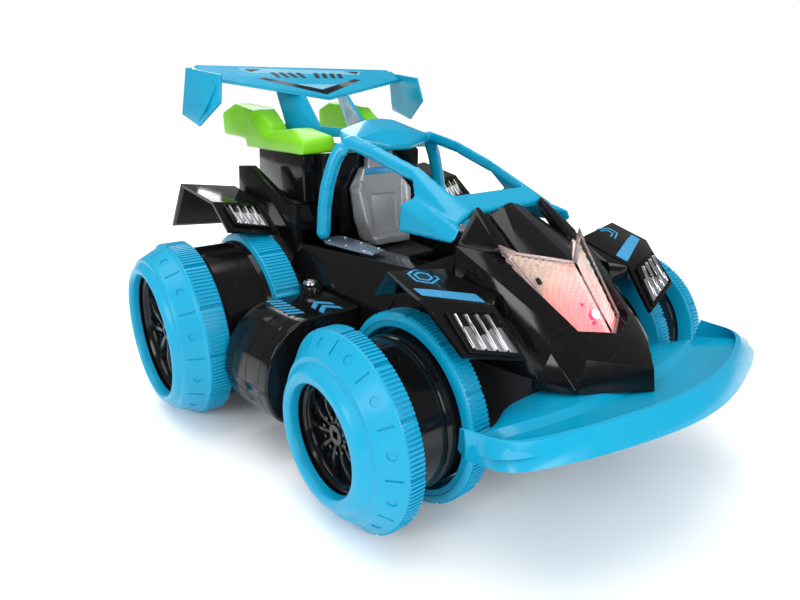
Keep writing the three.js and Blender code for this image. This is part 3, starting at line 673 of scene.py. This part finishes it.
lens_clear = bpy.data.materials.new("lens_clear")
lens_clear.use_nodes = True
tree = lens_clear.node_tree
shader = tree.nodes["Principled BSDF"]
place = make(tree, "ShaderNodeTexCoord").outputs["Object"]
haze = mapped(tree, noise(tree, place, 160, 4), 0.4, 0.8, 0.01, 0.06)
tree.links.new(haze, shader.inputs["Roughness"])
shader.inputs["Base Color"].default_value = (1, 0.97, 0.97, 1)
shader.inputs["Transmission Weight"].default_value = 1
shader.inputs["IOR"].default_value = 1.18
lens = soften(copied("nose_lens"), 0.5)
bmesh.ops.translate(lens, vec=(0.9, 0, 0.9), verts=lens.verts)
piece(lens, "clear_lens", lens_clear, ["nose_lens"])

# The reflector is a plate of small pyramids under each half of the lens. The lamp's light is painted on it
# as its own glow, red near the lamp and faintly warm over the rest.
HORN, CORNER, FOOT, NOTCH = (Vector(point) for point in (
    (76.1, -26.4, 105.8), (107.2, -17, 75.5), (116.5, 0, 73.5), (93.8, 0, 100.4)))
UP_FROM_LENS = upward(CORNER - HORN, NOTCH - HORN)
QUILT_ROWS = 22
quilted = plastic("quilted_plate", (0.86, 0.78, 0.70, 1), roughness=0.22, haze=0.1, grain=0.1, metallic=0.35)
# Painted lamp light: the plate's own emission, red within a few millimetres of the lamp and faint and warm
# beyond.
emission_near_lamp(quilted.node_tree, 0.002, 0.030, (0.08, 0.045, 0.035, 1), (0.9, 0.02, 0.06, 1), 1.5,
                   "SMOOTHERSTEP")
quilt = bmesh.new()
for sign in (-1, 1):
    half = bmesh.new()
    bmesh.ops.create_grid(half, x_segments=QUILT_ROWS, y_segments=QUILT_ROWS, size=1.5)
    bmesh.ops.poke(half, faces=half.faces[:], offset=1.0)
    bmesh.ops.rotate(half, verts=half.verts, cent=(0, 0, 0), matrix=Matrix.Rotation(pi / 4, 3, "Z"))
    for way in ((1, 0, 0), (-1, 0, 0), (0, 1, 0), (0, -1, 0)):
        everything = half.verts[:] + half.edges[:] + half.faces[:]
        bmesh.ops.bisect_plane(half, geom=everything, plane_co=way, plane_no=way, clear_outer=True)
    for vert in half.verts:
        u, v = (vert.co.x + 1) / 2, (vert.co.y + 1) / 2
        rise = (vert.co.z - 0.5) * 1.1
        vert.co = HORN.lerp(NOTCH, u).lerp(CORNER.lerp(FOOT, u), v) + UP_FROM_LENS * rise
        vert.co += Vector((-1.4, 0, -1.0))
        vert.co.y *= 0.93
    half.normal_update()
    if sum(face.normal.z for face in half.faces) < 0:
        bmesh.ops.reverse_faces(half, faces=half.faces)
    if sign > 0:
        bmesh.ops.scale(half, vec=(1, -1, 1), verts=half.verts)
        bmesh.ops.reverse_faces(half, faces=half.faces)
    into(quilt, half)
bmesh.ops.remove_doubles(quilt, verts=quilt.verts, dist=0.01)
bmesh.ops.solidify(quilt, geom=quilt.faces[:], thickness=0.5)
piece(quilt, "quilted_plate", quilted, ["lamp_reflector"], sharp=8)

# A frosted pink rim stands round the lens and runs up into its two horns.
rim_pink = plastic("rim_pink", (0.97, 0.80, 0.81, 1), roughness=0.22, haze=0.2, drift=0.15, grain=0.1)
rim_pink.node_tree.nodes["Principled BSDF"].inputs["Transmission Weight"].default_value = 0.85
rim = bmesh.new()
for hand in (-1, 1):
    ring = [Vector((x, y * -hand, z)) for x, y, z in (HORN, NOTCH, FOOT, CORNER)]
    middle = sum(ring, Vector()) / 4
    out = upward(ring[3] - ring[0], ring[1] - ring[0])
    for number in (0, 2, 3):
        a, b = ring[number], ring[(number + 1) % 4]
        inward = out.cross(b - a).normalized()
        inward = inward if inward.dot(middle - a) > 0 else -inward
        section = ((0, -0.6), (0.2, 1.7), (1.0, 1.5), (1.6, 0.9))
        into(rim, hull([point + inward * w + out * h for point in (a, b) for w, h in section], 0.3, 2))
    tip = ring[0] + out * 2
    into(rim, hull([tip, tip + (ring[3] - ring[0]).normalized() * 6,
                    tip + (ring[1] - ring[0]).normalized() * 7, ring[0] - out * 0.5,
                    ring[0] + out * 3 + Vector((-2.6, 0.6 * hand, 1.6))], 0.4, 2))
piece(rim, "lens_rim", rim_pink)
latch = bmesh.new()
block(latch, (-1.6, -0.9, -0.5), (1.6, 0.9, 0.8),
      Matrix.Translation((90.8, -18.2, 94.4)) @ Matrix.Rotation(radians(45), 4, "Y"), bevel=0.3)
piece(latch, "lens_latch", satin_black)

glowing = bpy.data.materials.new("lamp_glow")
glowing.use_nodes = True
emission_near_lamp(glowing.node_tree, 0.0014, 0.0026, (1.0, 0.01, 0.04, 1), (1.0, 0.55, 0.5, 1), 5)
glowing.node_tree.nodes["Principled BSDF"].inputs["Base Color"].default_value = (0.6, 0.01, 0.02, 1)
lamp_bulb = bmesh.new()
bmesh.ops.create_uvsphere(lamp_bulb, u_segments=24, v_segments=14, radius=2.4,
                          matrix=Matrix.Translation(LAMP + Vector((-1.4, 0, -1.2))))
# Four small red dots round the bulb are painted glints of its light, glowing with the lamp's own material.
for x, y, radius in ((-4.4, -3.4, 0.7), (-3.6, 3.0, 0.6), (1.6, -2.4, 0.8), (-6, 0.6, 0.5)):
    glint = Matrix.Translation(LAMP + Vector((x - 0.9, y, -1.1 * x - 1.6)))
    bmesh.ops.create_uvsphere(lamp_bulb, u_segments=12, v_segments=8, radius=radius, matrix=glint)
piece(lamp_bulb, "red_lamp", glowing)

# ---- Fenders ----
# Thin black arches over the wheels, one moulding each, with a plated grille of four fins let into
# the front face.
chrome = plastic("chrome", (0.8, 0.8, 0.82, 1), roughness=0.07, haze=0.1, drift=0.04, dust=0.05, grain=0.02,
                 metallic=1.0)
for side in both_sides:
    for end in WHEELS:
        moulded(f"{end}_fender_{side}", f"{end}_arch_{side}", 0.8, gloss_black)

# A dull black sheet laid in the hollow underside of each rear arch, inside its glossy rim, is painted shade
# that darkens the inside of the arch.
shade_sheet_black = plastic("shade_sheet_black", (0.008, 0.008, 0.009, 1), roughness=0.62, haze=0.1, drift=0.15, dust=0.05,
                     grain=0.3, specular=0.12)
for side, sign in SIDES:
    shade_sheet = hull([(x + d, y, z - d / 2) for d in (1.2, 2.0) for x, y, z in (
        (-115.6, -91, 116.4), (-115.6, -60.5, 112.6), (-136.6, -60.5, 89), (-139, -91.2, 91.4))], 0.2, 2)
    side_of(shade_sheet, sign)
    piece(shade_sheet, f"rear_arch_liner_{side}", shade_sheet_black)

# Each grille is a black tray with bright plated fins and a satin ramp that rises between each two.
GRILLES = {
    "front": ((90.1, -70, 92.9), (94.9, -49, 89.2), (107.7, -46, 74), (102.9, -69, 80.4)),
    "rear": ((-71.8, -86, 111.1), (-73.2, -65, 107.5), (-59.9, -64, 97.2), (-59.6, -85, 101.9)),
}
FINS = 4


def louvres(corners):
    """A grille between its outer-top, inner-top, inner-foot and outer-foot corners."""
    a, b, c, d = (Vector(corner) for corner in corners)
    out = upward(d - a, b - a)

    def at(u, v, height):
        return a.lerp(b, u).lerp(d.lerp(c, u), v) + out * height

    tray = hull([at(u, v, h) for u in (0, 1) for v in (0, 1) for h in (-0.3, 0.1)], 0.15, 2)
    rails = (((0, 0), (1, 0.05)), ((0, 0.95), (1, 1)), ((0, 0), (0.05, 1)), ((0.95, 0), (1, 1)))
    for (u0, v0), (u1, v1) in rails:
        into(tray, hull([at(u, v, h) for u in (u0, u1) for v in (v0, v1) for h in (-0.2, 0.8)], 0.3, 2))
    ramps, fins = bmesh.new(), bmesh.new()
    pitch = 0.86 / FINS
    for fin in range(FINS):
        u = 0.13 + pitch * fin
        into(fins, hull([at(u + du, 0.1, 1.7) for du in (-0.006, 0.006)]
                        + [at(u + du, v, h) for v, h in ((0.07, 0), (0.9, 0)) for du in (-0.03, 0.03)]
                        + [at(u + du, 0.88, 1.0) for du in (-0.006, 0.006)], 0.1, 1))
        into(ramps, hull([at(u + du, v, h) for v, h, du in (
            (0.34, 0.0, 0.04), (0.34, 0.0, pitch - 0.04), (0.38, 0.4, 0.05), (0.38, 0.4, pitch - 0.05),
            (0.92, 0.7, 0.03), (0.92, 0.7, pitch - 0.03), (0.92, 0.0, 0.03), (0.92, 0.0, pitch - 0.03))
            if u + du < 0.97], 0.1, 1))
    return tray, ramps, fins


satin_plate = plastic("satin_plate", (0.42, 0.42, 0.44, 1), roughness=0.3, haze=0.15, drift=0.1, grain=0.1,
                      metallic=0.85)
for end, corners in GRILLES.items():
    for side, sign in SIDES:
        tray, ramps, fins = louvres(corners)
        for part in (tray, ramps, fins):
            side_of(part, sign)
        piece(tray, f"{end}_grille_tray_{side}", gloss_black, [f"{end}_grille_{side}"])
        piece(ramps, f"{end}_grille_ramps_{side}", satin_plate)
        piece(fins, f"{end}_grille_fins_{side}", chrome)

# Stickers on the fenders: a bar along each front one's edge, a plain hexagon badge behind it, and a
# grey-blue strip on top of each rear one.
FRONT_TOP = ((62.8, -75.3, 102.8), (83.2, -75.7, 96.9), (92.4, -46, 90.6))
REAR_TOP = ((-114.5, -93, 118.3), (-75.8, -90, 112.7), (-77.5, -60, 108))
for side, sign in SIDES:
    bars = bmesh.new()
    sticker(bars, laid(FRONT_TOP, [(76, -73.5), (81, -73.2), (90.2, -48.5), (84, -48.2), (78, -66)]))
    side_of(bars, sign)
    piece(bars, f"fender_bar_{side}", film_blue)
    badge = bmesh.new()
    for radius in (7.2, 4.4):
        outer, inner = ([(68.5 + 0.8 * r * cos(k * pi / 3), -62 + r * sin(k * pi / 3)) for k in range(6)]
                        for r in (radius, radius - 1.1))
        for k in range(6):
            sticker(badge, laid(FRONT_TOP, [outer[k], outer[k - 1], inner[k - 1], inner[k]]), corner=0)
    side_of(badge, sign)
    piece(badge, f"fender_badge_{side}", film_blue)
    strip = bmesh.new()
    sticker(strip, laid(REAR_TOP, [(-111, -89), (-82, -86.5), (-83, -64), (-110, -64)]), corner=1.5)
    side_of(strip, sign)
    piece(strip, f"rear_strip_{side}", plate_grey)

# ---- Bumper ----
# The blue scoop across the front, one smooth moulding screwed under the nose: a stepped floor that
# curls up into a front wall with a rounded top.
body_blue = plastic("body_blue", (0.001, 0.29, 0.48, 1), roughness=0.22, haze=0.12, drift=0.05, dust=0.05,
                    grain=0.06, coat=0.12, specular=0.35)
SCOOP = (  # the wall's foot, the wall's top, and the root under the nose, from the right end to the middle
    ((115.5, -82.4, 48), (139.5, -81, 55.5), (154.5, -41, 57), (160.5, 0, 57.5)),
    ((116, -83.3, 60.5), (135.5, -74.5, 62), (150, -37, 65), (155.1, 0, 66)),
    ((110.5, -62, 48), (105.5, -50, 50), (104.9, -34, 50.5), (104.9, 0, 50.5)),
)


def flowing(points, steps):
    """Points along a smooth curve through some others."""
    points = [Vector(p) for p in points]
    points = [2 * points[0] - points[1], *points, 2 * points[-1] - points[-2]]
    curve = []
    for before, a, b, after in zip(points, points[1:], points[2:], points[3:]):
        for step in range(steps):
            t = step / steps
            curve.append(0.5 * (2 * a + (b - before) * t + (2 * before - 5 * a + 4 * b - after) * t ** 2
                                + (3 * a - before - 3 * b + after) * t ** 3))
    return [*curve, points[-2]]


low, high, root = (flowing([*edge, *((x, -y, z) for x, y, z in edge[-2::-1])], 8) for edge in SCOOP)
scoop = bmesh.new()
rings = []
for foot, top, back in zip(low, high, root):
    ledge = back.lerp(foot, 0.42)
    outline = (foot, foot.lerp(top, 0.5) + Vector((0.7, 0, 0)), top, top + Vector((-2.2, 0, 0)),
               foot + Vector((-3.0, 0, 3.0)), ledge + Vector((3.0, 0, 2.2)),
               ledge + Vector((-1.5, 0, 3.6)), back + Vector((0, 0, 3.0)), back)
    rings.append([scoop.verts.new(point) for point in outline])
for ring, after in zip(rings, rings[1:]):
    for k in range(len(ring)):
        scoop.faces.new((ring[k], ring[k - 1], after[k - 1], after[k]))
scoop.faces.new(rings[0])
scoop.faces.new(rings[-1])
bmesh.ops.recalc_face_normals(scoop, faces=scoop.faces)
piece(soften(scoop, 0.8, 3, crease=24), "scoop", body_blue, ["front_bumper"])

# ---- Seat and engine ----
# A silver-grey bucket seat with a blue headrest band, on its black pan and frame, and behind it the
# black engine cover that carries the two lime-green exhaust horns.
seat_silver = plastic("seat_silver", (0.40, 0.41, 0.43, 1), roughness=0.27, haze=0.15, drift=0.12, dust=0.05,
                      grain=0.15, metallic=0.55)
lime = plastic("lime_sparkle", (0.17, 0.52, 0.006, 1), roughness=0.3, haze=0.1, drift=0.15, dust=0.0,
               grain=0.3)


def blended(bm, grain, rounds):
    """Closed shapes that overlap, run together into one moulding with filleted joins."""
    result = worked(blank(bm), "REMESH", mode="VOXEL", voxel_size=grain)
    for number in range(rounds):
        bmesh.ops.smooth_vert(result, verts=result.verts, factor=0.5, use_axis_x=True, use_axis_y=True,
                              use_axis_z=True)
    return result


seat = hull(both((-48.5, -12.5, 128), (-43.2, -12.5, 128), (-48.5, -19.5, 117), (-43, -17.5, 117),
                 (-47, -18, 98), (-41.2, -14.5, 98), (-45, -14.5, 85), (-37.6, -12.5, 86)))
into(seat, hull(both((-47.5, -9.8, 126), (-42.6, -9.8, 126), (-48, -9, 137), (-43.6, -8.6, 137))))
for hand in (-1, 1):
    into(seat, hull([(x, hand * y, z) for x, y, z in (
        (-46, 13.5, 122), (-40.6, 15, 120), (-46, 20.4, 116), (-38.4, 18.6, 115), (-45, 19, 99),
        (-35.4, 16.4, 98), (-42, 15, 86), (-32.5, 13, 87), (-42, 11.5, 86), (-37.6, 11, 87))]))
into(seat, hull(both((-43, -13, 92), (-31.5, -12.5, 89.5), (-31, -12, 85), (-43, -13, 84))))
seat = blended(seat, 0.6, 4)
recess = hull([(x, y, z) for x, z in ((-42.3, 113), (-38.7, 92)) for y in (-8.6, 8.6)]
              + [(x + 6, y, z) for x, z in ((-42.3, 113), (-38.7, 92)) for y in (-9.2, 9.2)], 0.8, 3)
seat = carved(seat, recess)
piece(seat, "bucket_seat", seat_silver, ["seat"], sharp=50)
band = hull(both((-47, -12.7, 124), (-42.4, -12, 124), (-42.2, -11.2, 128), (-47, -11.9, 128.2)), 0.4, 2)
piece(band, "headrest_band", film_blue)
pan = hull(both((-42, -17, 84), (-14, -17, 81.6), (-14, -16.5, 78), (-42, -17, 78)), 1.0, 3)
piece(pan, "seat_pan", satin_black)
moulded("seat_frame", "seat_back_frame", 1.0, gloss_black)
moulded("engine_cover", "engine_box", 1.2, gloss_black)

for side, sign in SIDES:
    horn = hull([(-54.5, -45, 136), (-127.5, -45, 136), (-51.5, -24, 137), (-127.5, -29, 136),
                 (-53.5, -45, 143), (-51.5, -26, 146), (-73.5, -40, 149.5), (-73.5, -27, 149.5),
                 (-127.5, -45, 142), (-127.5, -29, 142)])
    into(horn, hull([(-98, -45.5, 141), (-98, -28.5, 141), (-98, -41, 150), (-98, -31, 150),
                     (-114, -41.5, 159.5), (-114, -29.5, 159.5), (-133, -45.5, 141),
                     (-133, -28.5, 141), (-120, -45, 156)]))
    into(horn, hull([(-114, -44, 158), (-114, -29, 159.5), (-130, -45.5, 141), (-130, -28.5, 141),
                     (-160, -45.5, 142), (-160, -28.5, 142), (-160.3, -45.5, 156), (-160.3, -28.5, 157),
                     (-146, -42, 162), (-146, -29, 162)]))
    horn = blended(horn, 1.0, 8)
    side_of(horn, sign)
    piece(horn, f"exhaust_horn_{side}", lime, [f"exhaust_pod_{side}"], sharp=60)

# ---- Cage and wing ----
# The blue roll cage, one moulding from the roof down to the sills and the cowl, and the V-shaped
# rear wing, moulded with its two wide struts. A printed film panel edged in black lies on the wing.
def round_bar(bm, points, radius):
    """A round bar along a few points."""
    for start, stop in zip(points, points[1:]):
        a, b = Vector(start), Vector(stop)
        turn = (b - a).to_track_quat("Z", "Y").to_matrix().to_4x4()
        cone(bm, Matrix.Translation((a + b) / 2) @ turn, radius, radius, (b - a).length, 24)
        bmesh.ops.create_uvsphere(bm, u_segments=24, v_segments=12, radius=radius,
                                  matrix=Matrix.Translation(b))


cage = hull(both((-37.5, -30, 143), (-38, -21, 148.6), (-51.5, -23, 149), (-37.5, -30, 140),
                 (-51.5, -23, 146), (-31.5, -25.5, 146), (-31.5, -25.5, 141.5), (-45, -9, 154.2),
                 (-31, -9, 149.5), (-23.5, -6, 141.5), (-24, -6, 138.5), (-29, -17, 145),
                 (-29, -17, 141.5)) + [(-48.5, 0, 154.8), (-48.5, 0, 151)])
into(cage, hull(both((42.5, -24, 125), (55.9, -24, 119.5), (42.5, -24, 121.5), (54.9, -24, 116.5))))
for sign in (-1, 1):
    rail = hull([(-37.5, -31.6, 145.5), (-33.5, -25.6, 148.6), (-37.5, -31.4, 140.6), (-8, -31, 140.6),
                 (-8, -26.4, 143.6), (-10, -30.6, 135.6), (-35.5, -26, 143), (-8, -27, 137.6)], 1.2, 2)
    into(rail, hull([(-10, -31, 141), (-10, -26.4, 144), (-10, -30.6, 135.4), (-10, -26.6, 137.6),
                     (20.5, -27.6, 133.4), (18.5, -24, 136), (20.5, -28.4, 127.4), (18.5, -24, 130)], 1.2, 2))
    into(rail, hull([(18, -27.6, 133.6), (18.5, -24, 136), (56.5, -24, 119.5), (56.5, -30, 117.6),
                     (21, -28.4, 127.6), (24.5, -31.4, 121.6), (56.5, -33.5, 114.5), (18.5, -24, 131),
                     (55.5, -24, 116), (26, -29, 121), (55, -31, 113)]))
    into(rail, hull([(19, -35, 119), (25.5, -31.9, 122.4), (56.5, -33.3, 115.5), (62.6, -37, 113.6),
                     (62.4, -39.4, 110.2), (60, -41, 108.4), (20.5, -37.6, 106.2), (20, -33, 118.6),
                     (26, -29.8, 121), (55, -31, 114), (60, -38.8, 107.6), (21, -35.4, 105.4)]))
    round_bar(rail, [(-36, -30.6, 142), (-37.6, -35.6, 133), (-38.6, -39.6, 121), (-38.7, -42.0, 109),
                     (-37.4, -44, 96)], 3.9)
    block(rail, (-34.6, -33.6, 136.6), (-31, -30.6, 141), bevel=0.6)
    if sign > 0:
        bmesh.ops.scale(rail, vec=(1, -1, 1), verts=rail.verts)
        bmesh.ops.reverse_faces(rail, faces=rail.faces)
    into(cage, rail)
cage = blended(cage, 0.8, 5)
piece(cage, "cage", body_blue, ["roll_cage"], sharp=60)

wing = soften(copied("rear_wing"), 0.8)
for hand in (-1, 1):
    into(wing, hull([(x, hand * (y - t), z) for t in (0, 1.8) for x, y, z in (
        (-134, 76, 182.5), (-96, 71, 178), (-93, 74, 163), (-113, 79.5, 150), (-136, 80.5, 156))], 0.6, 3))
piece(wing, "wing", body_blue, ["rear_wing"])
WING_TOP = ((-97.5, 0, 166), (-131.1, -70, 184), (-131.1, 70, 184))
panel = bmesh.new()
sticker(panel, laid(WING_TOP, [(-128.5, -46), (-128.5, 46), (-117.5, 34), (-104.6, 0), (-117.5, -34)]),
        corner=0.8)
piece(panel, "wing_panel", film_pale)
edging = bmesh.new()
for hand in (-1, 1):
    sticker(edging, laid(WING_TOP, [(-118.2, 33 * hand), (-105.5, 0), (-100.2, 0), (-117.2, 38 * hand)]),
            lift=0.2, corner=0)
    sticker(edging, laid(WING_TOP, [(-127.5, 43 * hand), (-124.5, 39 * hand), (-127.5, 31 * hand)]), lift=0.2,
            corner=0.2)
    for bar in range(4):
        y = hand * (5 + 6 * bar)
        sticker(edging, laid(WING_TOP, [(-124.5, y), (-124.5, y + 3.4 * hand), (-118.5, y + 1.6 * hand),
                                        (-118.5, y - 1.8 * hand)]), lift=0.2, corner=0.3)
piece(edging, "wing_edging", film_dark)

# ---- Floor, light and camera ----
# A plain pale floor that runs on into a pale world, a broad sun with three soft lights, and the
# camera on the car's right front quarter. Glossy pieces mirror a darker world than the floor's.
floor_mesh = bpy.data.meshes.new("floor")
bm = bmesh.new()
bmesh.ops.create_grid(bm, x_segments=1, y_segments=1, size=6)
bm.to_mesh(floor_mesh)
bm.free()
floor = placed("floor", floor_mesh)
paper = plastic("paper", (0.96, 0.965, 0.97, 1), roughness=0.6, haze=0.05, drift=0.01, dust=0.0, grain=0.02)
floor_mesh.materials.append(paper)

world = bpy.data.worlds.new("studio")
bpy.context.scene.world = world
world.use_nodes = True
sky = world.node_tree
LIT, MIRRORED, SEEN = 0.92, 0.22, 1.0  # the world's strength as light, in reflections and in view
rays = make(sky, "ShaderNodeLightPath").outputs
lit = make(sky, "ShaderNodeMix", {"Factor": rays["Is Glossy Ray"], "A": LIT, "B": MIRRORED},
           data_type="FLOAT")
backdrop = make(sky, "ShaderNodeMix",
                {"Factor": rays["Is Camera Ray"], "A": lit.outputs["Result"], "B": SEEN}, data_type="FLOAT")
sky.links.new(backdrop.outputs["Result"], sky.nodes["Background"].inputs["Strength"])
sky.nodes["Background"].inputs["Color"].default_value = (1, 1, 1, 1)

AIM = Vector((-0.0256, 0, 0.0507))
LIGHTS = (("sun", "SUN", (-0.25, -0.1, 1.2), radians(50), 1.3), ("front", "AREA", (1.2, -0.2, 0.6), 0.6, 5.5),
          ("right", "AREA", (0.4, -1.3, 0.75), 0.5, 5.5), ("behind", "AREA", (-1.1, 0.4, 0.8), 0.5, 4))
for name, kind, place, size, power in LIGHTS:
    light = bpy.data.lights.new(name, kind)
    setattr(light, "angle" if kind == "SUN" else "size", size)
    light.energy = power
    lamp = placed(name, light)
    lamp.location = place
    lamp.rotation_euler = (AIM - Vector(place)).to_track_quat("-Z", "Y").to_euler()

view = bpy.data.cameras.new("view")
view.lens = 26.93
view.sensor_width = 36
camera = placed("view", view)
camera.location = (0.2420, -0.2098, 0.1686)
camera.rotation_euler = (AIM - camera.location).to_track_quat("-Z", "Y").to_euler()
bpy.context.scene.camera = camera
bpy.context.scene.view_settings.view_transform = "Standard"
